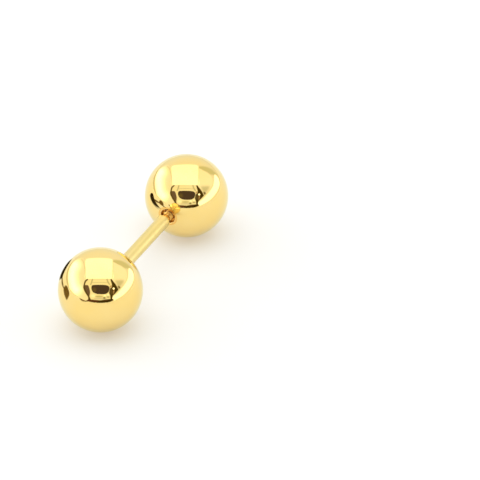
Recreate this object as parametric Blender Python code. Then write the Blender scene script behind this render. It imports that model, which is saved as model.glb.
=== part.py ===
"""A ball stud earring of gold-coloured steel: a ball with a post, and a ball that screws onto the post.

The stud lies on a surface with its axis along Y. The origin is on that surface, midway along the stud.
The front ball, soldered to the post, is at -Y. The ball that unscrews is at +Y. Metres, +Z up.
"""
import math

import bmesh
import bpy

# Driving dimensions
BALL_DIAMETER = 0.0050
BAR_LENGTH = 0.0060  # between the balls, with the screw ball as far on as shown
POST_DIAMETER = 0.000812  # 20 gauge wire
SOLDER_FILLET = 0.00010
FOOT_RADIUS = 0.00056  # of the flat that each ball rests on, where the real one is round
SHOULDER_WIDTH = 0.00010  # the step from the post down to the crest of its thread
SHOULDER_CHAMFER = 0.00003
SPIGOT_LENGTH = 0.0024  # from the shoulder to the tip: the plain neck, then the thread
SPIGOT_SHOWING = 0.00054  # the part of it between the shoulder and the mouth of the ball
NECK_LENGTH = 0.00040
THREAD_PITCH = 0.00020
THREAD_DEPTH = 0.00009
TIP_CHAMFER = 0.00006
RECESS_DEPTH = 0.00035  # takes the end of the post when the ball is screwed home
MOUTH_CHAMFER = 0.00003
SCREW_TRAVEL = 0.0008  # four turns, from the place shown to screwed home

# Clearances
RECESS_CLEARANCE = 0.00005  # round the post
BORE_CLEARANCE = 0.00003  # round the thread
BORE_END_CLEARANCE = 0.00015  # past the tip, with the ball screwed home

# How finely the round forms are divided
SIDES = 48
FILLET_STEPS = 3
TOOTH = ((0.0, 0.0), (0.35, 1.0), (0.65, 1.0))  # share of the pitch, share of the depth
FIRST_PLAIN_TURNS = 1.0  # the thread's rows begin and end at its root, where they meet plain rings
LAST_PLAIN_TURNS = 0.5
FADE_TURNS = 0.5  # between the root and the full depth
SMOOTH_BELOW = math.radians(30)

# The plating's colour, a little warmer on the ball that unscrews, and its polish
STUD_COLOUR = (0.95, 0.68, 0.26)
BALL_COLOUR = (0.94, 0.67, 0.27)
POLISH_ROUGHNESS = 0.06

# Sizes and places that follow
BALL_RADIUS = BALL_DIAMETER / 2
POST_RADIUS = POST_DIAMETER / 2
CREST_RADIUS = POST_RADIUS - SHOULDER_WIDTH
ROOT_RADIUS = CREST_RADIUS - THREAD_DEPTH
NECK_RADIUS = (CREST_RADIUS + ROOT_RADIUS) / 2  # the wire as it was before the thread was rolled
NECK_CHAMFER = NECK_RADIUS - ROOT_RADIUS
RECESS_RADIUS = POST_RADIUS + RECESS_CLEARANCE
BORE_RADIUS = CREST_RADIUS + BORE_CLEARANCE
AXIS_HEIGHT = math.sqrt(BALL_RADIUS**2 - FOOT_RADIUS**2)
BALL_PLACE = BAR_LENGTH / 2 + BALL_RADIUS  # from the middle of the stud to each ball's centre
MOUTH_TO_CENTRE = math.sqrt(BALL_RADIUS**2 - RECESS_RADIUS**2)
SHOULDER_PLACE = 2 * BALL_PLACE - MOUTH_TO_CENTRE - SPIGOT_SHOWING  # from the front ball's centre
BORE_DEPTH = SPIGOT_LENGTH - SPIGOT_SHOWING + SCREW_TRAVEL + BORE_END_CLEARANCE
STEP_ANGLE = 2 * math.pi / SIDES
TO_CORNER = 1 / math.cos(STEP_ANGLE / 2)  # puts the flats, and not the corners, on the true round


def clear_scene():
    """Removes the objects that a new file starts with."""
    for thing in list(bpy.data.objects):
        bpy.data.objects.remove(thing, do_unlink=True)


def polished_gold(name, colour):
    """A gold-coloured plating over steel, polished to a mirror."""
    material = bpy.data.materials.new(name)
    material.use_nodes = True
    shader = material.node_tree.nodes["Principled BSDF"]
    shader.inputs["Base Color"].default_value = (*colour, 1.0)
    shader.inputs["Metallic"].default_value = 1.0
    shader.inputs["Roughness"].default_value = POLISH_ROUGHNESS
    return material


def corner(bm, side, radius, along):
    """One vertex, so many sides round the Y axis from the bottom, clockwise as seen from the front.

    x = -r sin(turn), y = along, z = -r cos(turn). Half a side is added to the turn, so that a flat
    and not an edge is lowest, and the corner's r is the flat's radius over cos(half a side). What
    would be lower than the ball's foot is raised to it.
    """
    turn = (side + 0.5) * STEP_ANGLE
    reach = radius * TO_CORNER
    return bm.verts.new((-reach * math.sin(turn), along, max(-reach * math.cos(turn), -AXIS_HEIGHT)))


def ring(bm, radius, along):
    """A ring of corners at one place along the axis."""
    return [corner(bm, side, radius, along) for side in range(SIDES)]


def band(bm, low, high):
    """Faces all the way round, from one ring to the next."""
    for side in range(SIDES):
        after = (side + 1) % SIDES
        bm.faces.new((low[side], low[after], high[after], high[side]))


def turned(bm, profile, last=None):
    """Carries rings along a profile of (radius, place), closed by a flat where no ring comes before."""
    for radius, along in profile:
        new = ring(bm, radius, along)
        if last:
            band(bm, last, new)
        else:
            bm.faces.new(reversed(new))
        last = new
    return last


def ball_profile(first_radius, last_radius):
    """The ball's outline about its centre, from its -Y pole to its +Y pole, as flats that touch the ball.

    A corner is half a step past each whole step of polar angle, at the ball's radius over
    cos(half a step). The outline stops short of what joins the ball within a radius of each pole.
    """
    margin = STEP_ANGLE / 4
    first_angle = math.asin(first_radius / BALL_RADIUS) + margin
    last_angle = math.pi - math.asin(last_radius / BALL_RADIUS) - margin
    angles = [(step + 0.5) * STEP_ANGLE for step in range(SIDES // 2)]
    kept = [angle for angle in angles if first_angle < angle < last_angle]
    reach = BALL_RADIUS * TO_CORNER
    return [(reach * math.sin(angle), -reach * math.cos(angle)) for angle in kept]


def fillet_profile():
    """The solder's outline about the ball's centre: an arc that touches the ball and the post."""
    reach = BALL_RADIUS + SOLDER_FILLET
    centre_radius = POST_RADIUS + SOLDER_FILLET
    centre_along = math.sqrt(reach**2 - centre_radius**2)
    ball_angle = math.atan2(centre_along, centre_radius)
    points = []
    for step in range(FILLET_STEPS + 1):
        angle = ball_angle * (1 - step / FILLET_STEPS)
        radius = centre_radius - SOLDER_FILLET * math.cos(angle)
        points.append((radius, centre_along - SOLDER_FILLET * math.sin(angle)))
    return points


def thread_height(wound, turns):
    """The share of the thread's depth, where it has wound so many turns of a number in all."""
    from_end = min(wound - FIRST_PLAIN_TURNS, turns - LAST_PLAIN_TURNS - wound)
    return min(max(from_end / FADE_TURNS, 0.0), 1.0)


def threaded(bm, last, first_place, turns):
    """Winds a right-hand thread on from a plain ring, and ends it at another plain ring.

    A row of corners climbs one pitch in a turn, so where it comes round it meets the row one tooth
    further on. The seams of the first and last rows lie on one flat, which a single face closes.
    """
    rows = []
    for turn in range(turns):
        for pitch_share, depth_share in TOOTH:
            row = []
            for side in range(SIDES):
                wound = turn + pitch_share + side / SIDES
                radius = ROOT_RADIUS + THREAD_DEPTH * depth_share * thread_height(wound, turns)
                row.append(corner(bm, side, radius, first_place + THREAD_PITCH * wound))
            rows.append(row)

    tooth_rows = len(TOOTH)
    end = ring(bm, ROOT_RADIUS, first_place + THREAD_PITCH * (turns + 1))
    for side in range(SIDES - 1):
        bm.faces.new((last[side], last[side + 1], rows[0][side + 1], rows[0][side]))
        bm.faces.new((rows[-1][side], rows[-1][side + 1], end[side + 1], end[side]))
        for low, high in zip(rows, rows[1:]):
            bm.faces.new((low[side], low[side + 1], high[side + 1], high[side]))
    for index in range(len(rows) - tooth_rows - 1):
        low_after, high_after = rows[index + tooth_rows][0], rows[index + tooth_rows + 1][0]
        bm.faces.new((rows[index][-1], low_after, high_after, rows[index + 1][-1]))
    start_seam = [row[0] for row in rows[:tooth_rows + 1]]
    bm.faces.new((last[-1], last[0], *start_seam, rows[0][-1]))
    end_seam = [row[-1] for row in reversed(rows[-tooth_rows - 1:])]
    bm.faces.new((rows[-1][0], end[0], end[-1], *end_seam))
    return end


def finished(name, bm, material, place, parent):
    """Makes the object, shaded smooth, with its origin on the stud's axis."""
    mesh = bpy.data.meshes.new(name)
    bm.to_mesh(mesh)
    bm.free()
    mesh.materials.append(material)
    mesh.shade_smooth()
    mesh.set_sharp_from_angle(angle=SMOOTH_BELOW)
    thing = bpy.data.objects.new(name, mesh)
    thing.location = (0.0, place, 0.0)
    thing.parent = parent
    bpy.context.scene.collection.objects.link(thing)
    return thing


def ball_stud(parent):
    """The front ball, the solder, the post, its shoulder, neck and thread, all one solid."""
    bm = bmesh.new()
    fillet = fillet_profile()
    profile = ball_profile(0.0, fillet[0][0]) + fillet
    profile += [
        (POST_RADIUS, SHOULDER_PLACE - SHOULDER_CHAMFER),
        (POST_RADIUS - SHOULDER_CHAMFER, SHOULDER_PLACE),
        (NECK_RADIUS, SHOULDER_PLACE),
        (NECK_RADIUS, SHOULDER_PLACE + NECK_LENGTH - NECK_CHAMFER),
        (ROOT_RADIUS, SHOULDER_PLACE + NECK_LENGTH),
    ]
    neck = turned(bm, profile)
    turns = int((SPIGOT_LENGTH - NECK_LENGTH - TIP_CHAMFER) / THREAD_PITCH) - 1
    thread_end = threaded(bm, neck, SHOULDER_PLACE + NECK_LENGTH, turns)
    tip_place = SHOULDER_PLACE + SPIGOT_LENGTH
    tip_profile = [(ROOT_RADIUS, tip_place - TIP_CHAMFER), (ROOT_RADIUS - TIP_CHAMFER, tip_place)]
    bm.faces.new(turned(bm, tip_profile, thread_end))
    return finished("ball_stud", bm, polished_gold("stud_gold", STUD_COLOUR), -BALL_PLACE, parent)


def screw_ball(parent):
    """The ball that unscrews: from the end of its bore out to the mouth, and round to its far pole."""
    bm = bmesh.new()
    mouth = -MOUTH_TO_CENTRE
    lip_radius = RECESS_RADIUS + MOUTH_CHAMFER
    lip = -math.sqrt(BALL_RADIUS**2 - lip_radius**2)
    profile = [
        (BORE_RADIUS, mouth + BORE_DEPTH),
        (BORE_RADIUS, mouth + RECESS_DEPTH),
        (RECESS_RADIUS, mouth + RECESS_DEPTH),
        (RECESS_RADIUS, mouth + MOUTH_CHAMFER),
        (lip_radius, lip),
    ]
    bm.faces.new(turned(bm, profile + ball_profile(lip_radius, 0.0)))
    return finished("screw_ball", bm, polished_gold("ball_gold", BALL_COLOUR), BALL_PLACE, parent)


def main():
    clear_scene()
    axis = bpy.data.objects.new("stud_axis", None)
    axis.location = (0.0, 0.0, AXIS_HEIGHT)
    bpy.context.scene.collection.objects.link(axis)
    ball_stud(axis)
    screw_ball(axis)


main()
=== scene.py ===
# %% [markdown]
# # A ball stud earring, lying in a light tent
#
# The stud is two 5 mm steel balls on a thin post, plated a yellow gold and polished to a mirror. One
# ball is soldered on. The other has a hole and unscrews. This lesson dresses the plain model of it,
# one cell at a time: the camera, the tent that the balls mirror, the smooth surfaces and the plating.

# %% Load the frame
import math

import bpy
import numpy as np
from mathutils import Matrix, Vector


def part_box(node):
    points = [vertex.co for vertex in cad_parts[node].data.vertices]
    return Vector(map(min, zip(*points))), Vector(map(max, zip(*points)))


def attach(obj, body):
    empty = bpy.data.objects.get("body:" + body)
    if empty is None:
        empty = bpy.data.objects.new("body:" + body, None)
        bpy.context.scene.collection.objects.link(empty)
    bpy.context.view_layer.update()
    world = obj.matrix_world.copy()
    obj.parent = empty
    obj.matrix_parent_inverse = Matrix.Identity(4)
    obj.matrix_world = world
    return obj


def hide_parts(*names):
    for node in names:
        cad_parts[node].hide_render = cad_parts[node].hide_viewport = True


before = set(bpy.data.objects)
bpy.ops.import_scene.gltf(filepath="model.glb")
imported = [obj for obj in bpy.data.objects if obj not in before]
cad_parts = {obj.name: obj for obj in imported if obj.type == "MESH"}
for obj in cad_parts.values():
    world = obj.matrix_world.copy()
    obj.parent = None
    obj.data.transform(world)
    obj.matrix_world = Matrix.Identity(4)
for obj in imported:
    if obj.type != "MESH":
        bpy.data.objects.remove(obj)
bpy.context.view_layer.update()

# %% [markdown]
# ## The sizes that everything hangs on
# The places come from the loaded solids, so nothing has to be fitted later. A ball's radius is half
# its width, and its centre is one radius in from its end and one radius below its top. Its lowest
# point would be a little under the ground, because each ball stands on a tiny flat.

# %% Places from the solids
MM = 0.001

stud_low, stud_high = (np.array(corner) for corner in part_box("ball_stud"))
screw_low, screw_high = (np.array(corner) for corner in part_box("screw_ball"))
ball_radius = (stud_high[0] - stud_low[0]) / 2
axis_height = stud_high[2] - ball_radius
front_centre = np.array([0.0, stud_low[1] + ball_radius, axis_height])
screw_centre = np.array([0.0, screw_high[1] - ball_radius, axis_height])
middle = (front_centre + screw_centre) / 2
centres_apart = np.linalg.norm(screw_centre - front_centre)
print(f"ball radius {ball_radius / MM:.3f} mm, centres {centres_apart / MM:.2f} mm apart")

# %% [markdown]
# ## The camera
# A small thing is photographed from well away with a long lens, so that its far ball looks nearly as
# large as its near one. The camera's height and bearing are angles round the stud. Right, up and back
# are its axes: back = (sin a cos e, -cos a cos e, sin e), for a bearing a and a height e.

# %% Camera
CAMERA_BEARING = math.radians(26.8)
CAMERA_HEIGHT = math.radians(34.5)
CAMERA_DISTANCE = 360 * MM
PICTURE_SIDE = 480  # pixels
PIXELS_PER_MM = 16.928  # at the middle of the stud
MIDDLE_IN_PICTURE = (143.96, 242.2)  # pixels from the left and the top
SENSOR = 36.0  # mm wide, as Blender counts it
NEAREST, FARTHEST = 10 * MM, 2000 * MM

sin_a, cos_a = math.sin(CAMERA_BEARING), math.cos(CAMERA_BEARING)
sin_e, cos_e = math.sin(CAMERA_HEIGHT), math.cos(CAMERA_HEIGHT)
camera_right = np.array([cos_a, sin_a, 0.0])
camera_up = np.array([-sin_e * sin_a, sin_e * cos_a, cos_e])
camera_back = np.array([sin_a * cos_e, -cos_a * cos_e, sin_e])
half_side = PICTURE_SIDE / 2
aside = (half_side - MIDDLE_IN_PICTURE[0]) / PIXELS_PER_MM * MM
above = (MIDDLE_IN_PICTURE[1] - half_side) / PIXELS_PER_MM * MM
camera_place = middle + aside * camera_right + above * camera_up + CAMERA_DISTANCE * camera_back

lens = bpy.data.cameras.new("long_lens")
lens.sensor_width = SENSOR
lens.lens = SENSOR * CAMERA_DISTANCE / (PICTURE_SIDE / PIXELS_PER_MM * MM)
lens.clip_start, lens.clip_end = NEAREST, FARTHEST
camera = bpy.data.objects.new("camera", lens)
turn = np.eye(4)
turn[:3, 0], turn[:3, 1], turn[:3, 2], turn[:3, 3] = camera_right, camera_up, camera_back, camera_place
camera.matrix_world = Matrix(turn.tolist())
bpy.context.scene.collection.objects.link(camera)
bpy.context.scene.camera = camera
bpy.context.scene.view_settings.view_transform = "Standard"
print(f"lens {lens.lens:.0f} mm, {CAMERA_DISTANCE / MM:.0f} mm from the stud")

# %% [markdown]
# ## Three small helpers
# Every new piece below is a grid of points worked out with numpy. One helper joins a grid's
# neighbours with faces, and one puts the mesh in the scene. The last adds a node to a material, with
# its settings and its links, which keeps the node trees short to read.

# %% Helpers
def hex_to_linear(code):
    """An sRGB hex colour as linear red, green and blue: c / 12.92 if small, or ((c + 0.055) / 1.055)^2.4."""
    srgb = np.array([int(code[i:i + 2], 16) for i in (1, 3, 5)]) / 255
    linear = np.where(srgb <= 0.04045, srgb / 12.92, ((srgb + 0.055) / 1.055) ** 2.4)
    return (*linear.tolist(), 1.0)


def add_node(tree, kind, settings=None, inputs=None, links=None):
    """Adds a node, sets its properties and socket values, and links its inputs from other sockets."""
    node = tree.nodes.new(kind)
    for name, value in (settings or {}).items():
        setattr(node, name, value)
    for name, value in (inputs or {}).items():
        node.inputs[name].default_value = value
    for name, socket in (links or {}).items():
        tree.links.new(socket, node.inputs[name])
    return node


def grid_mesh(name, points, wraps=False, kept=None):
    """A mesh through points[row, column], with each row joined to the next, and round if it wraps.

    Faces look along (next column - this column) x (next row - this row). Only the faces whose first
    corner is in kept are made, if it is given.
    """
    rows, columns = points.shape[:2]
    index = np.arange(rows * columns).reshape(rows, columns)
    after = np.roll(index, -1, axis=1) if wraps else index[:, 1:]
    here = index if wraps else index[:, :-1]
    quads = np.stack([here[:-1], after[:-1], after[1:], here[1:]], axis=-1).reshape(-1, 4)
    if kept is not None:
        quads = quads[kept.ravel()[quads[:, 0]]]
    mesh = bpy.data.meshes.new(name)
    mesh.from_pydata(points.reshape(-1, 3).tolist(), [], quads.tolist())
    return mesh


def put_in_scene(name, mesh, *materials):
    """Gives the mesh its materials, shades it smooth and links a new object of it."""
    for material in materials:
        mesh.materials.append(material)
    mesh.shade_smooth()
    thing = bpy.data.objects.new(name, mesh)
    bpy.context.scene.collection.objects.link(thing)
    return thing


print("white in linear light", hex_to_linear("#FFFFFF")[:3])

# %% [markdown]
# ## The light tent, as the ball shows it
# A polished ball mirrors the whole room, so its look is the room's look. The stud lies on white paper
# in a small tent of white cloth, lit from outside, and the camera looks in through an opening. A
# mirror ball shows at (x, y), in ball radii from its middle, what lies in the direction
# r = 2 nz n - v, where n = (x, y, nz), nz = sqrt(1 - x^2 - y^2), and v points at the camera. Laying the
# tent's cloth out in those same (x, y) makes it easy to say where each panel and seam is to show.

# %% Tent grid
TENT_RADIUS = 440 * MM
OUT_STEPS = 280
ROUND_STEPS = 720
INNERMOST, OUTERMOST = 0.0005, 0.998  # in ball radii, since nz is 0 at the rim itself
HEM_BELOW_GROUND = 3 * MM


def facing(centre):
    """Right, up and back for a ball at centre, with back pointing at the camera's lens."""
    back = camera_place - centre
    back = back / np.linalg.norm(back)
    right = np.cross(camera_up, back)
    right = right / np.linalg.norm(right)
    return right, np.cross(back, right), back


def on_ball(x, y, axes):
    """The unit normal n of a ball where the camera sees it at (x, y)."""
    nz = np.sqrt(np.maximum(1 - x**2 - y**2, 0.0))
    return sum(part[..., None] * axis for part, axis in zip((x, y, nz), axes))


def seen_in_ball(x, y, axes):
    """The direction r = 2 nz n - v of what a mirror ball shows at (x, y)."""
    nz = np.sqrt(np.maximum(1 - x**2 - y**2, 0.0))
    return 2 * nz[..., None] * on_ball(x, y, axes) - axes[2]


out = np.linspace(INNERMOST, OUTERMOST, OUT_STEPS)[:, None]
around = np.arange(ROUND_STEPS)[None, :] * 2 * math.pi / ROUND_STEPS
tent_x = out * np.cos(around)
tent_y = out * np.sin(around)
tent_ways = seen_in_ball(tent_x, tent_y, facing(front_centre))
tent_points = tent_ways * TENT_RADIUS + front_centre
above_ground = tent_points[..., 2] > -HEM_BELOW_GROUND
print("tent points", tent_x.size, "of which", int(above_ground.sum()), "are above the ground")

# %% [markdown]
# ## Panels and seams with soft edges
# Each panel is an outline of a few points, made smooth by a curve through them. How far a point of the
# cloth is inside the outline decides how much of the panel's light it gets, so an edge can be as soft
# as cloth in front of a lamp is. A seam is the same with an open line and a width.

# %% Paint with light
SAMPLES_PER_SPAN = 6
LAMP_SPREAD = 0.11

tent_light = np.ones((*tent_x.shape, 3))


def smooth_curve(points, closed):
    """A Catmull-Rom curve: between b and c, with a before and d after, at a share t of the way,

    (2 b + (c - a) t + (2 a - 5 b + 4 c - d) t^2 + (3 b - a - 3 c + d) t^3) / 2.
    """
    points = np.array(points, float)
    if closed:
        padded = np.concatenate([points[-1:], points, points[:2]])
    else:
        padded = np.concatenate([2 * points[:1] - points[1:2], points, 2 * points[-1:] - points[-2:-1]])
    a, b, c, d = (padded[i:len(padded) - 3 + i, None, :] for i in range(4))
    t = np.linspace(0, 1, SAMPLES_PER_SPAN, endpoint=False)[None, :, None]
    curve = (2 * b + (c - a) * t + (2 * a - 5 * b + 4 * c - d) * t**2 + (3 * b - a - 3 * c + d) * t**3) / 2
    curve = curve.reshape(-1, 2)
    return curve if closed else np.concatenate([curve, points[-1:]])


def depth_inside(x, y, outline, closed):
    """How far each point is inside an outline, or minus its distance from it.

    The distance to an edge from p to q is that to p + s (q - p), with s the dot product's share of the
    edge, held to 0..1. A point is inside if a line from it to the right crosses an odd number of edges.
    """
    first = outline if closed else outline[:-1]
    step = (np.roll(outline, -1, axis=0) if closed else outline[1:]) - first
    dx, dy = x[:, None] - first[:, 0], y[:, None] - first[:, 1]
    share = np.clip((dx * step[:, 0] + dy * step[:, 1]) / (step**2).sum(axis=1), 0, 1)
    near = np.sqrt(((dx - share * step[:, 0])**2 + (dy - share * step[:, 1])**2).min(axis=1))
    if not closed:
        return -near
    spans = (dy < 0) != (dy < step[:, 1])
    rise = np.where(step[:, 1] == 0, 1.0, step[:, 1])
    crossed = spans & (dx < dy * step[:, 0] / rise)
    return np.where(crossed.sum(axis=1) % 2 == 1, near, -near)


def light_panel(outline, level, soft=0.012, tint="#FFFFFF", width=None, sharp=False,
                lamp=None, lamp_level=0.0):
    """Mixes a level of light into the tent inside an outline, or along a line of some width.

    The share is s^2 (3 - 2 s), with s going from 0 to 1 over the soft edge. A lamp is a line behind the
    cloth. It adds its own level times exp(-(distance / LAMP_SPREAD)^2).
    """
    closed = width is None
    line = np.array(outline, float) if sharp else smooth_curve(outline, closed)
    margin = soft + (0 if closed else width)
    near = above_ground & (tent_x > line[:, 0].min() - margin) & (tent_x < line[:, 0].max() + margin)
    near &= (tent_y > line[:, 1].min() - margin) & (tent_y < line[:, 1].max() + margin)
    x, y = tent_x[near], tent_y[near]
    inside = depth_inside(x, y, line, closed) + (0 if closed else width / 2)
    share = np.clip((inside + soft) / (2 * soft), 0, 1)
    share = share * share * (3 - 2 * share)
    strength = np.full(x.shape, float(level))
    if lamp is not None:
        distance = depth_inside(x, y, smooth_curve(lamp, False), False)
        strength += lamp_level * np.exp(-(distance / LAMP_SPREAD)**2)
    wanted = strength[:, None] * np.array(hex_to_linear(tint)[:3])
    tent_light[near] += (wanted - tent_light[near]) * share[:, None]


def ring(x, y, half_width, half_height):
    """Eight points round an ellipse: a centre plus the half sizes times (cos, sin)."""
    angle = np.arange(8) * math.pi / 4
    return np.stack([x + half_width * np.cos(angle), y + half_height * np.sin(angle)], axis=-1)


print("a curve through four corners has", len(smooth_curve([(0, 0), (1, 0), (1, 1), (0, 1)], True)), "points")

# %% [markdown]
# ## The plain cloth
# Away from the panels the cloth glows evenly. Behind the stud and low down it is a little darker, as
# cloth is that hangs far from the lamps.

# %% Plain cloth
CLOTH_LIGHT = 1.04
LESS_LOW_DOWN = 0.12
LOW_DOWN = math.radians(10)

bearing = np.arctan2(tent_ways[..., 0], -tent_ways[..., 1]) - CAMERA_BEARING
height = np.arcsin(np.clip(tent_ways[..., 2], -1, 1))
behind = 0.5 - 0.5 * np.cos(bearing)
low_down = np.exp(-np.maximum(height, 0) / LOW_DOWN)
tent_light *= (CLOTH_LIGHT * (1 - LESS_LOW_DOWN * behind * low_down))[..., None]
print(f"plain cloth from {tent_light[above_ground].min():.2f} to {tent_light[above_ground].max():.2f}")

# %% [markdown]
# ## The lit panels
# The roof is one large bright panel. A lamp stands close behind the left side, so it is brightest along
# a line there and fades inwards. On the right are a dimmer upper panel, a darker fold of cloth over it
# and a bright strip that curves down to the front.

# %% Lit panels
# The fold over the upper right panel, and that panel
light_panel([(0.30, 0.69), (0.45, 0.685), (0.58, 0.635), (0.68, 0.555), (0.745, 0.47), (0.785, 0.385),
             (0.745, 0.40), (0.69, 0.475), (0.62, 0.495), (0.55, 0.51), (0.46, 0.57), (0.30, 0.61)],
            0.78, 0.028, "#FAFCE0")
light_panel([(0.285, 0.64), (0.42, 0.585), (0.55, 0.50), (0.61, 0.41), (0.62, 0.30), (0.585, 0.20),
             (0.525, 0.11), (0.41, 0.02), (0.30, 0.10), (0.27, 0.25), (0.28, 0.45)], 1.20, 0.014)
# The dimmer border of the left side, and the left side with its lamp
light_panel([(-0.66, 0.66), (-0.73, 0.56), (-0.79, 0.42), (-0.80, 0.27), (-0.78, 0.12), (-0.73, 0.02),
             (-0.73, 0.30), (-0.68, 0.50)], 0.78, 0.022, "#FFFBEE")
light_panel([(-0.42, 0.745), (-0.55, 0.70), (-0.66, 0.60), (-0.725, 0.47), (-0.752, 0.33), (-0.745, 0.18),
             (-0.715, 0.03), (-0.655, -0.06), (-0.585, -0.125), (-0.50, -0.19), (-0.40, -0.235),
             (-0.31, -0.25), (-0.27, -0.20), (-0.30, -0.10), (-0.37, 0.02), (-0.375, 0.15), (-0.35, 0.25),
             (-0.35, 0.45), (-0.365, 0.62)], 1.10, 0.014,
            lamp=[(-0.59, 0.58), (-0.65, 0.45), (-0.66, 0.28), (-0.63, 0.10), (-0.57, 0.0)], lamp_level=1.5)
# The roof
light_panel([(-0.345, 0.25), (-0.345, 0.45), (-0.35, 0.62), (-0.335, 0.70), (-0.26, 0.728), (-0.03, 0.74),
             (0.20, 0.728), (0.275, 0.70), (0.29, 0.62), (0.285, 0.45), (0.285, 0.25), (-0.03, 0.235)],
            1.66, 0.018)
# The bright strip
light_panel([(0.665, 0.50), (0.74, 0.44), (0.772, 0.34), (0.768, 0.22), (0.70, 0.07), (0.58, -0.075),
             (0.45, -0.17), (0.29, -0.245), (0.285, -0.17), (0.40, -0.075), (0.50, 0.035), (0.575, 0.13),
             (0.635, 0.24), (0.652, 0.36)], 2.1, 0.012)
print(f"brightest cloth {tent_light[above_ground].max():.2f}")

# %% [markdown]
# ## Seams, and the fold beside the opening
# Where two panels meet, the cloth is doubled and sewn, and lets less light through.

# %% Seams
SEWN = "#FFF3DC"

light_panel([(-0.44, 0.71), (-0.40, 0.66), (-0.365, 0.52), (-0.355, 0.38), (-0.35, 0.26)], 0.82, 0.011, SEWN,
            width=0.012)
light_panel([(0.29, 0.67), (0.292, 0.52), (0.286, 0.38), (0.275, 0.26)], 0.98, 0.013, SEWN, width=0.010)
light_panel([(-0.715, 0.0), (-0.655, -0.075), (-0.58, -0.14), (-0.50, -0.20)], 0.84, 0.012, SEWN, width=0.022)
# The fold beside the opening
light_panel([(0.35, 0.20), (0.42, 0.225), (0.53, 0.22), (0.535, 0.165), (0.475, 0.08), (0.42, 0.03)],
            0.76, 0.05, "#FCFFF8")
print("three seams and a fold")

# %% [markdown]
# ## The opening
# The cloth is cut open at the front for the lens. Through the cut one sees the dark room. The lens hood
# is the dark shape in the middle, and the edges of the cloth round it curl inwards, some lit and some
# not. The front hem hangs in its own shadow, just above the paper.

# %% Opening
ROOM = "#FFDBD3"
SHADED = "#FFDC59"
HALF_SHADED = "#FCFFEA"
BROWN = "#FFE3AB"
LIT_HEM = "#FFFEF2"

# The cloth round the cut, lit, and the folds that hang from its upper edge
light_panel([(-0.31, 0.245), (0.245, 0.245), (0.30, 0.165), (0.36, 0.08), (0.41, 0.0), (0.36, -0.06),
             (0.30, -0.12), (0.27, -0.19), (0.285, -0.235), (0.10, -0.285), (-0.10, -0.29), (-0.30, -0.265),
             (-0.25, -0.20), (-0.30, -0.12), (-0.385, 0.04), (-0.37, 0.16)], 1.10, 0.008, LIT_HEM, sharp=True)
light_panel([(-0.31, 0.247), (-0.03, 0.25), (0.245, 0.247)], 0.70, 0.008, LIT_HEM, width=0.008)
light_panel([(-0.185, 0.24), (-0.20, 0.19), (-0.225, 0.125)], 0.60, 0.014, HALF_SHADED, width=0.028)
light_panel([(0.155, 0.24), (0.17, 0.19), (0.21, 0.125)], 0.62, 0.014, HALF_SHADED, width=0.030)
light_panel([(-0.18, 0.166), (0.0, 0.169), (0.16, 0.163)], 0.66, 0.008, HALF_SHADED, width=0.010)
# The dark room at the left of the hood, and the shaded edge of the cloth there
light_panel([(-0.372, 0.10), (-0.33, 0.112), (-0.285, 0.10), (-0.255, 0.03), (-0.24, -0.06), (-0.25, -0.16),
             (-0.215, -0.25), (-0.29, -0.25), (-0.285, -0.17), (-0.33, -0.07), (-0.385, 0.04)],
            0.17, 0.010, ROOM)
light_panel([(-0.305, 0.24), (-0.35, 0.195), (-0.372, 0.12), (-0.383, 0.05), (-0.345, -0.045), (-0.30, -0.12),
             (-0.265, -0.18), (-0.245, -0.24)], 0.11, 0.009, SHADED, width=0.034)
# The dark room at the right, and what stands in it, with a bare lamp last
light_panel([(0.255, 0.255), (0.292, 0.205), (0.340, 0.145), (0.385, 0.075), (0.42, 0.0), (0.36, -0.065),
             (0.287, -0.135), (0.272, -0.23), (0.235, -0.235), (0.225, -0.13), (0.20, -0.07), (0.22, 0.03),
             (0.262, 0.06), (0.266, 0.12), (0.248, 0.18), (0.232, 0.24)], 0.075, 0.008, SHADED, sharp=True)
light_panel([(0.328, -0.015), (0.318, -0.06), (0.295, -0.10), (0.29, -0.06), (0.30, -0.01)],
            0.45, 0.009, "#FFD9B8")
light_panel([(0.335, 0.06), (0.345, 0.04), (0.335, -0.02)], 0.02, 0.008, ROOM, width=0.012)
light_panel([(0.405, 0.09), (0.445, 0.08), (0.462, 0.05), (0.425, 0.025)], 0.20, 0.016, BROWN)
light_panel([(0.222, 0.09), (0.262, 0.10), (0.262, 0.06), (0.228, 0.05)], 0.62, 0.010, "#FFE3C8")
light_panel([(0.235, 0.03), (0.268, 0.03), (0.275, -0.05), (0.26, -0.11), (0.22, -0.06)], 0.13, 0.012, BROWN)
light_panel(ring(0.306, 0.028, 0.019, 0.019), 3.2, 0.012)
# The lens hood, its rim and a faint glow in it
light_panel([(-0.205, 0.07), (-0.175, 0.106), (-0.03, 0.112), (0.14, 0.102), (0.195, 0.075), (0.213, 0.04),
             (0.20, -0.025), (0.165, -0.07), (0.10, -0.097), (0.0, -0.10), (-0.10, -0.09), (-0.17, -0.05),
             (-0.20, 0.01)], 0.082, 0.009, ROOM)
light_panel([(-0.16, -0.055), (-0.198, 0.01), (-0.202, 0.07), (-0.17, 0.102), (-0.03, 0.108), (0.14, 0.098),
             (0.205, 0.06)], 0.03, 0.008, SHADED, width=0.012)
light_panel([(-0.07, -0.09), (0.05, -0.093), (0.13, -0.083), (0.19, -0.04)], 0.03, 0.008, ROOM, width=0.010)
light_panel(ring(-0.14, 0.0, 0.045, 0.05), 0.14, 0.03, BROWN)
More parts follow.
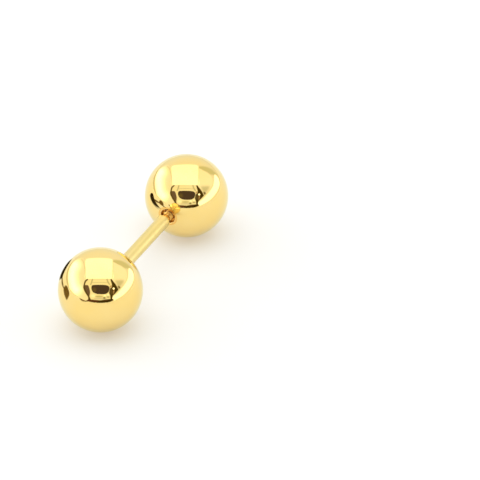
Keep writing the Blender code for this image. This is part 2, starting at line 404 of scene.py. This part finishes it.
# Lit and shaded cloth under the hood
light_panel(ring(-0.17, -0.14, 0.05, 0.035), 1.30, 0.02)
light_panel(ring(0.0, -0.20, 0.15, 0.022), 0.80, 0.02)
light_panel(ring(-0.03, -0.155, 0.09, 0.020), 0.66, 0.018, "#FEFFDE")
light_panel(ring(0.105, -0.132, 0.028, 0.014), 1.6, 0.012)
light_panel(ring(0.178, -0.115, 0.022, 0.014), 1.6, 0.012)
light_panel(ring(0.18, -0.165, 0.035, 0.018), 0.52, 0.016, HALF_SHADED)
light_panel(ring(0.092, -0.187, 0.028, 0.020), 0.26, 0.016, "#FFFFB8")
# The front hem, with two warm places in its shadow
light_panel([(-0.33, -0.248), (-0.22, -0.230), (-0.10, -0.236), (0.0, -0.243), (0.09, -0.226), (0.18, -0.215),
             (0.27, -0.205), (0.31, -0.228), (0.27, -0.255), (0.18, -0.290), (0.0, -0.31), (-0.20, -0.295)],
            0.055, 0.009, SHADED)
light_panel([(-0.30, -0.258), (-0.18, -0.258), (-0.07, -0.262)], 0.15, 0.012, "#FFA890", width=0.030)
light_panel([(0.07, -0.250), (0.11, -0.246), (0.16, -0.240)], 0.16, 0.010, "#FFB8A0", width=0.012)
print(f"darkest place {tent_light[above_ground].min():.3f}")

# %% [markdown]
# ## The tent's mesh
# The cloth is one surface with the painted light as a colour of its own at each point. It only glows:
# it is far brighter than what it would reflect. Light sampling is left off, because the smooth dome
# is found just as well by rays that leave the stud and the paper.

# %% Hang the tent
def lit_cloth(name):
    """Cloth with a lamp behind it: emission in the colour of the mesh's own attribute, light."""
    material = bpy.data.materials.new(name)
    material.use_nodes = True
    material.cycles.emission_sampling = "NONE"
    tree = material.node_tree
    tree.nodes.clear()
    painted = add_node(tree, "ShaderNodeAttribute", {"attribute_name": "light"})
    glow = add_node(tree, "ShaderNodeEmission", links={"Color": painted.outputs["Color"]})
    add_node(tree, "ShaderNodeOutputMaterial", links={"Surface": glow.outputs["Emission"]})
    return material


tent_mesh = grid_mesh("light_tent", tent_points, wraps=True, kept=above_ground)
tent_rgba = np.concatenate([tent_light, np.ones((*tent_x.shape, 1))], axis=-1)
tent_mesh.attributes.new("light", "FLOAT_COLOR", "POINT").data.foreach_set("color", tent_rgba.ravel())
light_tent = put_in_scene("light_tent", tent_mesh, lit_cloth("lit_tent_cloth"))
light_tent.visible_camera = False
print("tent faces", len(tent_mesh.polygons))

# %% [markdown]
# ## Cards on the paper
# A mirror ball on white paper can lose its edge against it, so a photographer lays dark cards on the
# paper beside it. They are torn by hand, so their edges are thin and soft. Each card is given by where
# the front ball shows it. It lies where the mirrored line of sight from there, the ball's surface at n
# plus some way along r, meets the paper, and curls up from the paper where that would be too far out.
# Neither the camera nor the paper sees these cards, and they cast no shadow, so they need not be kept
# out of the picture as real ones would be. The last one, along the front, is a painted shadow: the dark
# band that the tent's front hem casts on the paper.

# %% Cards
PAPER_GAP = 0.02 * MM  # between a card and the paper
STRIP_SHARES = (-1.5, -0.5, 0.5, 1.5)  # of half the width, the outer ones at the torn edge
PATCH_SHARES = (0.02, 0.45, 0.88, 1.12)  # of the way to the outline, the last at the torn edge
BLUNT = 0.15  # radians left off each end of the sine that tapers a strip
LEAST_FALL = 1e-6  # keeps a level line of sight from a division by 0
NEAR_REACH, FAR_REACH = 14 * MM, 40 * MM


def card_paper(name, code):
    """Matt coloured paper, torn thin at its edges.

    The attribute cover is the share of the light that it stops: 1, but 0 along the outline.
    """
    material = bpy.data.materials.new(name)
    material.use_nodes = True
    tree = material.node_tree
    shader = tree.nodes["Principled BSDF"]
    shader.inputs["Base Color"].default_value = hex_to_linear(code)
    shader.inputs["Roughness"].default_value = 1.0
    shader.inputs["Specular IOR Level"].default_value = 0.0
    cover = add_node(tree, "ShaderNodeAttribute", {"attribute_name": "cover"})
    nothing = add_node(tree, "ShaderNodeBsdfTransparent")
    torn = add_node(tree, "ShaderNodeMixShader", links={
        0: cover.outputs["Fac"], 1: nothing.outputs["BSDF"], 2: shader.outputs["BSDF"]})
    tree.links.new(torn.outputs["Shader"], tree.nodes["Material Output"].inputs["Surface"])
    return material


def strip(points, width):
    """Four lines along a curve, at shares of half the width to each side, and how far each covers."""
    curve = smooth_curve(points, False)
    along = np.gradient(curve, axis=0)
    across = np.stack([-along[:, 1], along[:, 0]], axis=-1) / np.linalg.norm(along, axis=1)[:, None]
    half = width / 2 * np.sin(np.linspace(BLUNT, math.pi - BLUNT, len(curve)))[:, None]
    return curve + np.array(STRIP_SHARES)[:, None, None] * (across * half), (0, 1, 1, 0)


def patch(points):
    """Rings at shares of the way from an outline's middle out to it and past it, and how far each covers."""
    edge = smooth_curve(points, True)
    middle_point = edge.mean(axis=0)
    return middle_point + np.array(PATCH_SHARES)[:, None, None] * (edge - middle_point), (1, 1, 1, 0)


def lay_card(name, centre, shape, material, wraps, reach):
    """A card that the ball at centre shows at the places rows[row, column] = (x, y) of its shape.

    It lies on the paper where the mirrored line of sight meets that within reach, and is at reach where
    it does not, so its far side curls up.
    """
    rows, covers = shape
    axes = facing(centre)
    foot = centre + on_ball(rows[..., 0], rows[..., 1], axes) * ball_radius
    way = seen_in_ball(rows[..., 0], rows[..., 1], axes)
    down = np.maximum(-way[..., 2], LEAST_FALL)
    points = foot + way * np.minimum((foot[..., 2] - PAPER_GAP) / down, reach)[..., None]
    mesh = grid_mesh(name, points, wraps=wraps)
    cover = np.repeat(np.array(covers, float), rows.shape[1])
    mesh.attributes.new("cover", "FLOAT", "POINT").data.foreach_set("value", cover)
    card = put_in_scene(name, mesh, material)
    card.visible_camera = card.visible_diffuse = card.visible_shadow = card.visible_transmission = False
    low, high = points.reshape(-1, 3).min(axis=0) / MM, points.reshape(-1, 3).max(axis=0) / MM
    print(name, "from", low.round(1).tolist(), "to", high.round(1).tolist(), "mm")


black_card = card_paper("black_card", "#2E2617")
brown_card = card_paper("brown_card", "#6E5C3A")

lay_card("card_high", front_centre, patch([
    (-0.665, 0.715), (-0.68, 0.695), (-0.745, 0.59), (-0.797, 0.50), (-0.838, 0.42), (-0.87, 0.335),
    (-0.893, 0.265), (-0.935, 0.245), (-0.955, 0.245), (-0.93, 0.345), (-0.895, 0.43), (-0.855, 0.505),
    (-0.80, 0.59), (-0.725, 0.678)]), black_card, True, NEAR_REACH)
lay_card("card_line", front_centre, strip([
    (-0.885, 0.33), (-0.893, 0.21), (-0.875, 0.10), (-0.85, 0.02)], 0.034), brown_card, False, NEAR_REACH)
lay_card("card_low", front_centre, patch([
    (-0.80, 0.105), (-0.765, 0.06), (-0.735, -0.03), (-0.728, -0.11), (-0.75, -0.18), (-0.785, -0.23),
    (-0.82, -0.17), (-0.85, -0.08), (-0.86, 0.01), (-0.845, 0.07)]), brown_card, True, NEAR_REACH)
# A painted shadow: this brown card stands for the band of shade that the tent's front hem casts on the paper
lay_card("hem_shadow_card", front_centre, strip([
    (-0.49, -0.195), (-0.44, -0.232), (-0.38, -0.258), (-0.29, -0.272)], 0.036), brown_card, False, FAR_REACH)

# %% [markdown]
# ## The paper
# White paper has a faint tooth and sends light every way. A little warm light also comes up through it
# from the table, which keeps the shadows under the balls pale and soft. It is stronger far out, where
# less of the cloth's light reaches the paper.

# %% Paper
PAPER_GRAIN = 0.35 * MM
PAPER_TOOTH = 0.004 * MM
PAPER_ROUGHNESS = 0.9
PAPER_SHEEN = 0.2
TOOTH_STRENGTH = 0.5
LIGHT_THROUGH = (0.32, 0.42)
LIGHTER_FROM = 60 * MM
LIGHTER_TO = 400 * MM

paper = bpy.data.materials.new("white_paper")
paper.use_nodes = True
paper_tree = paper.node_tree
paper_shader = paper_tree.nodes["Principled BSDF"]
paper_shader.inputs["Base Color"].default_value = hex_to_linear("#CACED1")
paper_shader.inputs["Roughness"].default_value = PAPER_ROUGHNESS
paper_shader.inputs["Specular IOR Level"].default_value = PAPER_SHEEN
paper_shader.inputs["Emission Color"].default_value = hex_to_linear("#FFF4E6")
paper_place = add_node(paper_tree, "ShaderNodeTexCoord")
away = add_node(paper_tree, "ShaderNodeVectorMath", {"operation": "LENGTH"},
                links={0: paper_place.outputs["Object"]})
lighter = add_node(paper_tree, "ShaderNodeMapRange", inputs={
    "From Min": LIGHTER_FROM, "From Max": LIGHTER_TO, "To Min": LIGHT_THROUGH[0], "To Max": LIGHT_THROUGH[1]},
    links={"Value": away.outputs["Value"]})
paper_tree.links.new(lighter.outputs["Result"], paper_shader.inputs["Emission Strength"])
paper_noise = add_node(paper_tree, "ShaderNodeTexNoise", inputs={"Scale": 1 / PAPER_GRAIN, "Detail": 3.0},
                       links={"Vector": paper_place.outputs["Object"]})
paper_bump = add_node(paper_tree, "ShaderNodeBump", links={"Height": paper_noise.outputs["Fac"]},
                      inputs={"Strength": TOOTH_STRENGTH, "Distance": PAPER_TOOTH})
paper_tree.links.new(paper_bump.outputs["Normal"], paper_shader.inputs["Normal"])
paper.cycles.emission_sampling = "NONE"

ground_points = np.array([[[-1, -1, 0], [1, -1, 0]], [[-1, 1, 0], [1, 1, 0]]], float) * TENT_RADIUS
put_in_scene("ground", grid_mesh("ground", ground_points), paper)

world = bpy.data.worlds.new("outside_the_tent")
bpy.context.scene.world = world
world.use_nodes = True
world.node_tree.nodes["Background"].inputs["Color"].default_value = (1.0, 1.0, 1.0, 1.0)
world.node_tree.nodes["Background"].inputs["Strength"].default_value = CLOTH_LIGHT
print(f"paper {2 * TENT_RADIUS / MM:.0f} mm square")

# %% [markdown]
# ## Turned forms
# Both pieces are made on a lathe, so each is a profile of (radius, place along the axis) carried round
# the axis. The balls are ground and tumbled to a true round, so the profile has a point every degree
# or so. Each run of the profile also says which finish it has, and how far handling has rubbed it.
# The last number of an arc or a line is how many points it has.

# %% Turned forms
COLUMNS = 176
BALL_POINTS = 130  # along a ball's outline
# Finish numbers. The last one is the turned ring round the hole, whose deeper yellow is a painted reflection.
POLISHED, DRAWN, CUT, RING_PAINTED_REFLECTION = 0, 1, 2, 3


def arc(centre, radius, first, last, steps):
    """(radius, place) along an arc, at the centre plus radius times (sin angle, -cos angle)."""
    angle = np.linspace(first, last, steps)
    return np.stack([centre[0] + radius * np.sin(angle), centre[1] - radius * np.cos(angle)], axis=-1)


def line(start, end, steps):
    """(radius, place) along a straight line, evenly spaced."""
    share = np.linspace(0, 1, steps)[:, None]
    return np.array(start) * (1 - share) + np.array(end) * share


def joined(*runs):
    """Runs of (rows, finish, rubbed) end to end, as rows of four numbers. A shared end is kept once."""
    marked = [np.concatenate([rows, np.broadcast_to([finish, rubbed], rows.shape)], axis=-1)
              for rows, finish, rubbed in runs]
    return np.concatenate(marked[:1] + [rows[1:] for rows in marked[1:]])


def turned(name, profile, thread, *materials):
    """Carries a profile round the stud's axis: x = -r sin(turn), y = place, z = axis height - r cos(turn).

    The thread is a function of turn and place that gives what is added to r, and how rubbed it is, on
    rows that are cut. What would be lower than the paper is raised to it.
    """
    angle = np.arange(COLUMNS) * 2 * math.pi / COLUMNS
    radius, place, finish, rubbed = (np.repeat(profile[:, k:k + 1], COLUMNS, axis=1) for k in range(4))
    rise, crest = thread(angle[None, :], place)
    radius = radius + rise * (finish == CUT)
    height = np.maximum(axis_height - radius * np.cos(angle), 0.0)
    mesh = grid_mesh(name, np.stack([-radius * np.sin(angle), place, height], axis=-1), wraps=True)
    wear = np.maximum(rubbed, crest).ravel()
    mesh.attributes.new("rubbed", "FLOAT", "POINT").data.foreach_set("value", wear)
    thing = put_in_scene(name, mesh, *materials)
    mesh.polygons.foreach_set("material_index", np.repeat(profile[1:, 2].astype(np.int32), COLUMNS))
    print(name, "has", 2 * len(mesh.polygons), "triangles")
    return thing


print(f"a ball's outline is {2 * math.pi * ball_radius / MM:.1f} mm long")

# %% [markdown]
# ## The thread
# A rolled thread has rounded V grooves. Its height depends on the distance to the nearest crest, as a
# share of half a pitch: it is cut off at both ends, for the flat crest and root, and eased by
# 3 h^2 - 2 h^3. It fades out over half a turn at each end. The same helix, moved out by the clearance,
# is the thread inside the ball, so the two mesh. Past the recess the ball's bore is left plain, for
# the stud's smooth neck.

# %% Thread
POST_RADIUS = 0.406 * MM
SHOULDER_WIDTH = 0.10 * MM
THREAD_PITCH = 0.20 * MM
THREAD_DEPTH = 0.09 * MM
SPIGOT_LENGTH = 2.40 * MM
SPIGOT_SHOWING = 0.54 * MM
NECK_LENGTH = 0.40 * MM
TIP_CHAMFER = 0.06 * MM
RECESS_DEPTH = 0.35 * MM
RECESS_CLEARANCE = 0.05 * MM
BORE_CLEARANCE = 0.03 * MM
BORE_PAST_TIP = 0.95 * MM
ROOM_FOR_NECK = 0.34 * MM
ROWS_PER_PITCH = 12
ROOT_FROM = 0.85  # share of half a pitch from the crest at which the flat root begins
FLANK = 0.65  # share that the flank takes up, between the flat crest and that root
CREST_FROM = 0.9  # share of the height above which handling rubs the crest
CREST_WEAR = 0.7

crest_radius = POST_RADIUS - SHOULDER_WIDTH
root_radius = crest_radius - THREAD_DEPTH
neck_radius = (crest_radius + root_radius) / 2
recess_radius = POST_RADIUS + RECESS_CLEARANCE
bore_radius = crest_radius + BORE_CLEARANCE
mouth = screw_centre[1] - math.sqrt(ball_radius**2 - recess_radius**2)
shoulder = mouth - SPIGOT_SHOWING
thread_start = shoulder + NECK_LENGTH
tip = shoulder + SPIGOT_LENGTH
thread_end = tip - TIP_CHAMFER
bore_start = mouth + RECESS_DEPTH
bore_end = tip + BORE_PAST_TIP


def thread_height(angle, place):
    """From 0 at the root to 1 at the crest, by how far the helix has wound: w = place / pitch - turn.

    With d = 2 |w mod 1 - 1/2|, it is h = (ROOT_FROM - d) / FLANK, held to 0..1 and then eased.
    """
    wound = (place - thread_start) / THREAD_PITCH - angle / (2 * math.pi)
    height = np.clip((ROOT_FROM - np.abs(wound % 1 - 0.5) * 2) / FLANK, 0, 1)
    return height * height * (3 - 2 * height)


def between(place, start, end):
    """1 between two places, and 0 outside them: the distance to the nearer, over half a pitch, to 1."""
    return np.clip(np.minimum(place - start, end - place) / (THREAD_PITCH / 2), 0, 1)


def stud_thread(angle, place):
    """What is added to the stud's radius, the depth times the height, and how rubbed the crests are."""
    height = thread_height(angle, place) * between(place, thread_start, thread_end)
    return THREAD_DEPTH * height, CREST_WEAR * (height > CREST_FROM)


def ball_thread(angle, place):
    """What is added to the bore's radius, -depth (1 - height), so it stands in the stud's grooves."""
    height = (1 - thread_height(angle, place)) * between(place, bore_start + ROOM_FOR_NECK, bore_end)
    return -THREAD_DEPTH * height, np.zeros_like(height)


print(f"thread {2 * root_radius / MM:.3f} to {2 * crest_radius / MM:.3f} mm across,",
      f"pitch {THREAD_PITCH / MM:.2f} mm")

# %% [markdown]
# ## Gold plating
# Real costume studs are steel under about a micrometre of pale yellow gold. The plating copies what is
# under it, so its gloss depends on how each part was made: ground and tumbled balls, a wire drawn
# through a die, a thread and holes that a tool cut, and a ring round the hole that the buffing wheel
# never reached. The cut gold's darker amber is painted shade and bounce light, and the ring's deeper
# yellow is a painted reflection of the shaded paper and gold under the post. All four are gold, with
# metallic at 1 and the default IOR, and one function makes them. The specular tint is what a metal shows
# at a grazing angle. It is nearly white, because gold pales towards the rim of a ball. A thin clear
# lacquer on the balls and the wire adds a faint white mirror image of its own. The two cut finishes have
# none.

# %% Plating
EDGE_TINT = "#F3F9F0"
LACQUER_ROUGHNESS = 0.02
DRIFT_SIZE = 1.9 * MM
DRIFT_RANGE = (0.35, 0.65)  # of the drift noise, from the full colour to the thin one
GRAIN_RANGE = (0.3, 0.7)  # of the grain noise, from the least rough to the most


def gold_plating(name, full, thin, worn, roughness, grain, grain_depth, wave, wave_depth, lacquer):
    """Metal in a mix of two plating colours, with a rubbed one where the mesh's attribute says so.

    The colour drifts from full to thin over a few millimetres. Grain is a noise with a size along each
    axis, and drives the roughness and a fine bump. Wave is a coarser noise that only bends the surface.
    """
    material = bpy.data.materials.new(name)
    material.use_nodes = True
    tree = material.node_tree
    shader = tree.nodes["Principled BSDF"]
    shader.inputs["Metallic"].default_value = 1.0
    shader.inputs["Specular Tint"].default_value = hex_to_linear(EDGE_TINT)
    shader.inputs["Coat Weight"].default_value = lacquer
    shader.inputs["Coat Roughness"].default_value = LACQUER_ROUGHNESS
    place = add_node(tree, "ShaderNodeTexCoord").outputs["Object"]
    drift = add_node(tree, "ShaderNodeTexNoise", inputs={"Scale": 1 / DRIFT_SIZE, "Detail": 2.0},
                     links={"Vector": place})
    colour = add_node(tree, "ShaderNodeValToRGB", links={"Fac": drift.outputs["Fac"]})
    for stop, where, code in zip(colour.color_ramp.elements, DRIFT_RANGE, (full, thin)):
        stop.position = where
        stop.color = hex_to_linear(code)
    stretched = add_node(tree, "ShaderNodeMapping", inputs={"Scale": tuple(1 / size for size in grain)},
                         links={"Vector": place})
    lines = add_node(tree, "ShaderNodeTexNoise", inputs={"Scale": 1.0, "Detail": 3.0},
                     links={"Vector": stretched.outputs["Vector"]})
    rubbed = add_node(tree, "ShaderNodeAttribute", {"attribute_name": "rubbed"})
    patchy = add_node(tree, "ShaderNodeMath", {"operation": "MULTIPLY"},
                      links={0: rubbed.outputs["Fac"], 1: drift.outputs["Fac"]})
    # Of a colour mix, socket 6 is the first colour, 7 the second, and output 2 the mixed one.
    finish = add_node(tree, "ShaderNodeMix", {"data_type": "RGBA"}, inputs={7: hex_to_linear(worn)},
                      links={0: patchy.outputs["Value"], 6: colour.outputs["Color"]})
    tree.links.new(finish.outputs[2], shader.inputs["Base Color"])
    rough = add_node(tree, "ShaderNodeMapRange", links={"Value": lines.outputs["Fac"]}, inputs={
        "From Min": GRAIN_RANGE[0], "From Max": GRAIN_RANGE[1],
        "To Min": roughness[0], "To Max": roughness[1]})
    tree.links.new(rough.outputs["Result"], shader.inputs["Roughness"])
    swell = add_node(tree, "ShaderNodeTexNoise", inputs={"Scale": 1 / wave, "Detail": 0.0},
                     links={"Vector": place})
    bent = add_node(tree, "ShaderNodeBump", inputs={"Strength": 1.0, "Distance": wave_depth},
                    links={"Height": swell.outputs["Fac"]})
    scored = add_node(tree, "ShaderNodeBump", inputs={"Strength": 1.0, "Distance": grain_depth},
                      links={"Height": lines.outputs["Fac"], "Normal": bent.outputs["Normal"]})
    tree.links.new(scored.outputs["Normal"], shader.inputs["Normal"])
    print(name, "roughness", roughness[0], "to", roughness[1])
    return material


# Buffed on a felt wheel: a mirror, but never quite flat. The hairlines that the wheel leaves are some
# 0.005 mm wide, too fine to show, so they are drawn about 0.2 mm wide.
polished = gold_plating("polished_gold_plating", "#F9D984", "#F8DB8E", "#EFE3C6", (0.02, 0.055),
                        (0.22 * MM, 1.1 * MM, 0.22 * MM), 0.0006 * MM, 1.3 * MM, 0.006 * MM, 0.4)

# Drawn through a die: fine lines run along the wire and spread each highlight across it. Real ones are
# about 0.01 mm apart, and are drawn 0.07 mm apart here.
drawn = gold_plating("drawn_gold_wire", "#E6CF84", "#E5CF8C", "#EFE3C6", (0.36, 0.48),
                     (0.07 * MM, 2.4 * MM, 0.07 * MM), 0.0022 * MM, 1.7 * MM, 0.004 * MM, 0.4)

# Cut or rolled, and never buffed: the tool's marks run round it. Its darker, warmer amber is painted shade
# and bounce light from the gold round it. Marks of about 0.02 mm are drawn 0.08 mm apart.
cut = gold_plating("cut_gold_painted_bounce", "#ECBA60", "#E6B25A", "#F3D79A", (0.24, 0.40),
                   (0.5 * MM, 0.08 * MM, 0.5 * MM), 0.0020 * MM, 0.6 * MM, 0.002 * MM, 0.0)

# Turned round the hole, where a buffing wheel can't reach in beside the post: the same steel and gold,
# with the lathe's fine rings left in it. Its deeper yellow is a painted reflection of the shaded paper
# and the gold under the post. The rings are about 0.01 mm apart, and are drawn 0.05 mm apart.
ring_painted_reflection = gold_plating("turned_gold_painted_reflection", "#F4C46C", "#F2C168", "#F6DFA6", (0.06, 0.14),
                        (0.5 * MM, 0.05 * MM, 0.5 * MM), 0.0006 * MM, 1.3 * MM, 0.006 * MM, 0.0)

# %% [markdown]
# ## The stud
# One piece of metal to the eye: the soldered ball, a small fillet of solder, the wire post, its
# shoulder, and the turned-down end with the thread. It is a single profile, from the ball's far pole
# to the middle of the wire's end.

# %% Stud
SOLDER_FILLET = 0.10 * MM
EDGE_ROUND = 0.03 * MM
NECK_ROUND = 0.02 * MM
POLE = 1e-4 * MM
POLE_ANGLE = 1e-4  # a profile ends just short of the axis, so that no face has two equal corners

fillet_reach = ball_radius + SOLDER_FILLET
fillet_radius = POST_RADIUS + SOLDER_FILLET
fillet_along = math.sqrt(fillet_reach**2 - fillet_radius**2)
fillet_place = front_centre[1] + fillet_along
fillet_angle = math.atan2(fillet_radius, fillet_along)
neck_slope = neck_radius - root_radius
stud_profile = joined(
    (arc((0, front_centre[1]), ball_radius, POLE_ANGLE, math.pi - fillet_angle, BALL_POINTS), POLISHED, 0.0),
    (arc((fillet_radius, fillet_place), SOLDER_FILLET, -fillet_angle, -math.pi / 2, 12), POLISHED, 0.25),
    (line((POST_RADIUS, fillet_place), (POST_RADIUS, shoulder - EDGE_ROUND), 34), DRAWN, 0.0),
    (arc((POST_RADIUS - EDGE_ROUND, shoulder - EDGE_ROUND), EDGE_ROUND, math.pi / 2, math.pi, 9), DRAWN, 1.0),
    (line((POST_RADIUS - EDGE_ROUND, shoulder), (neck_radius + NECK_ROUND, shoulder), 6), CUT, 0.4),
    (arc((neck_radius + NECK_ROUND, shoulder + NECK_ROUND), NECK_ROUND, 0, -math.pi / 2, 7), CUT, 0.0),
    (line((neck_radius, shoulder + NECK_ROUND), (neck_radius, thread_start - neck_slope), 9), CUT, 0.0),
    (line((neck_radius, thread_start - neck_slope), (root_radius, thread_start), 4), CUT, 0.2),
    (line((root_radius, thread_start), (root_radius, thread_end), 10 * ROWS_PER_PITCH), CUT, 0.0),
    (line((root_radius, thread_end), (root_radius - TIP_CHAMFER, tip), 5), CUT, 0.5),
    (line((root_radius - TIP_CHAMFER, tip), (POLE, tip), 5), CUT, 0.2))
stud = turned("stud_surface", stud_profile, stud_thread, polished, drawn, cut)
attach(stud, "stud")
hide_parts("ball_stud")

# %% [markdown]
# ## The ball that unscrews
# Its hole is wider than the post at the mouth, so that the shoulder can go in, and then narrows to the
# thread. The lip round the mouth is rolled over and catches the light. It and a narrow ring outside it
# keep the lathe's finish, and their deeper yellow is a painted reflection of the shaded paper and the
# gold under the post. The profile starts in the middle of the hole's end, comes out along the thread,
# and goes round the outside to the far pole.

# %% Screw ball
LIP_ROUND = 0.045 * MM
COUNTERSINK = 0.05 * MM
FACED_RADIUS = 0.62 * MM

lip_reach = ball_radius - LIP_ROUND
lip_radius = recess_radius + LIP_ROUND
lip_place = screw_centre[1] - math.sqrt(lip_reach**2 - lip_radius**2)
lip_angle = math.asin(lip_radius / lip_reach)
faced_angle = math.asin(FACED_RADIUS / ball_radius)
thread_rows = round((bore_end - bore_start) / THREAD_PITCH * ROWS_PER_PITCH)
screw_profile = joined(
    (line((POLE, bore_end), (bore_radius, bore_end), 4), CUT, 0.0),
    (line((bore_radius, bore_end), (bore_radius, bore_start + COUNTERSINK), thread_rows), CUT, 0.0),
    (line((bore_radius, bore_start + COUNTERSINK), (bore_radius + COUNTERSINK, bore_start), 4), CUT, 0.6),
    (line((bore_radius + COUNTERSINK, bore_start), (recess_radius, bore_start), 4), CUT, 0.0),
    (line((recess_radius, bore_start), (recess_radius, lip_place), 10), CUT, 0.0),
    # The lip and the ring outside it: the turned finish, with a painted reflection's deeper yellow
    (arc((lip_radius, lip_place), LIP_ROUND, -math.pi / 2, lip_angle, 13), RING_PAINTED_REFLECTION, 0.4),
    (arc((0, screw_centre[1]), ball_radius, lip_angle, faced_angle, 6), RING_PAINTED_REFLECTION, 0.0),
    (arc((0, screw_centre[1]), ball_radius, faced_angle, math.pi - POLE_ANGLE, BALL_POINTS), POLISHED, 0.0))
screw_ball = turned("screw_ball_surface", screw_profile, ball_thread, polished, drawn, cut, ring_painted_reflection)
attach(screw_ball, "screw_ball")
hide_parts("screw_ball")
